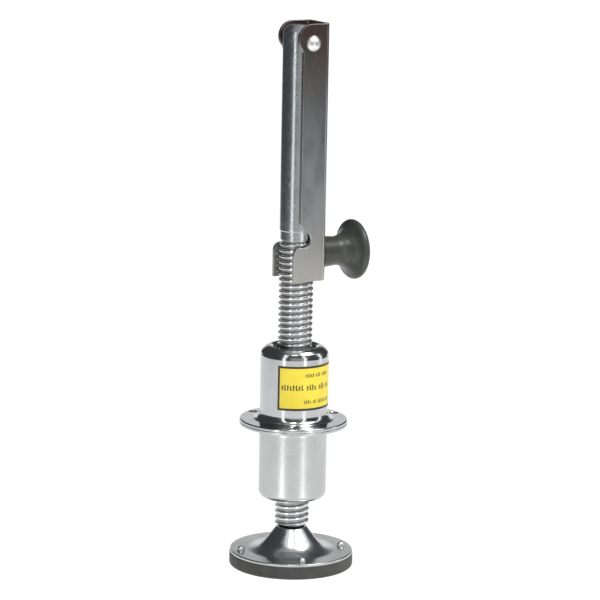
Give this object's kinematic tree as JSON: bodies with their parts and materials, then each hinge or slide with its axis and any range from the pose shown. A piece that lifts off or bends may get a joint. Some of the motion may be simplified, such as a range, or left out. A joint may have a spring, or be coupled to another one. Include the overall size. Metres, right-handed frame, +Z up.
{
  "type": "bolt-on leveling jack",
  "caption": "Bolt-on screw jack with a flanged cup housing, a trapezoidal screw, a fold-out crank handle with a mushroom knob, and a swivelling rubber-padded foot.",
  "frame": {"origin": "centre of the rubber pad's floor face, on the screw's axis", "axes": "+Z up along the screw, +X towards the folded handle and its knob"},
  "size_m": [0.0847, 0.0796, 0.3503],
  "materials": {
    "cup_steel": "plated satin",
    "nut_brass": "machined",
    "inner_steel": "plain",
    "nylon": "natural",
    "label_vinyl": "printed",
    "screw_steel": "polished",
    "handle_steel": "plated satin",
    "rivet_steel": "polished",
    "knob_plastic": "semi-gloss",
    "foot_steel": "polished",
    "pad_rubber": "matte"
  },
  "bodies": {
    "housing": {"upper_cup": "cup_steel", "lower_cup": "cup_steel", "load_nut": "nut_brass", "spacer_sleeve": "inner_steel", "guide_bush": "nylon", "label": "label_vinyl"},
    "carrier": {"stem_seal": "pad_rubber"},
    "screw": {"jack_screw": "screw_steel", "pivot_rivet": "rivet_steel"},
    "handle": {"handle_channel": "handle_steel", "knob_axle": "rivet_steel", "knob_washer": "inner_steel"},
    "knob": {"knob": "knob_plastic"},
    "seat": {"seat_liner": "nylon"},
    "foot": {"foot_plate": "foot_steel", "ball_socket": "inner_steel", "rubber_pad": "pad_rubber", "foot_rivet_1": "rivet_steel", "foot_rivet_2": "rivet_steel", "foot_rivet_3": "rivet_steel", "foot_rivet_4": "rivet_steel"}
  },
  "joints": [
    {"name": "lift", "type": "slide", "parent": "housing", "child": "carrier", "axis": [0, 0, 1], "range_m": [-0.042, 0.018]},
    {"name": "screw_spin", "type": "hinge", "parent": "carrier", "child": "screw", "pos_m": [0, 0, 0.0162], "axis": [0, 0, 1], "range_deg": [-4000, 1750]},
    {"name": "handle_fold", "type": "hinge", "parent": "screw", "child": "handle", "pos_m": [0.0018, 0, 0.3382], "axis": [0, -1, 0], "range_deg": [0, 90]},
    {"name": "knob_spin", "type": "hinge", "parent": "handle", "child": "knob", "pos_m": [0.02, 0, 0.2033], "axis": [1, 0, 0], "continuous": true},
    {"name": "foot_tilt_x", "type": "hinge", "parent": "carrier", "child": "seat", "pos_m": [0, 0, 0.0162], "axis": [1, 0, 0], "range_deg": [-6, 6]},
    {"name": "foot_tilt_y", "type": "hinge", "parent": "seat", "child": "foot", "pos_m": [0, 0, 0.0162], "axis": [0, 1, 0], "range_deg": [-6, 6]}
  ],
  "couplings": [
    {"joint": "screw_spin", "follows": "lift", "rad_per_m": 1653.5}
  ]
}
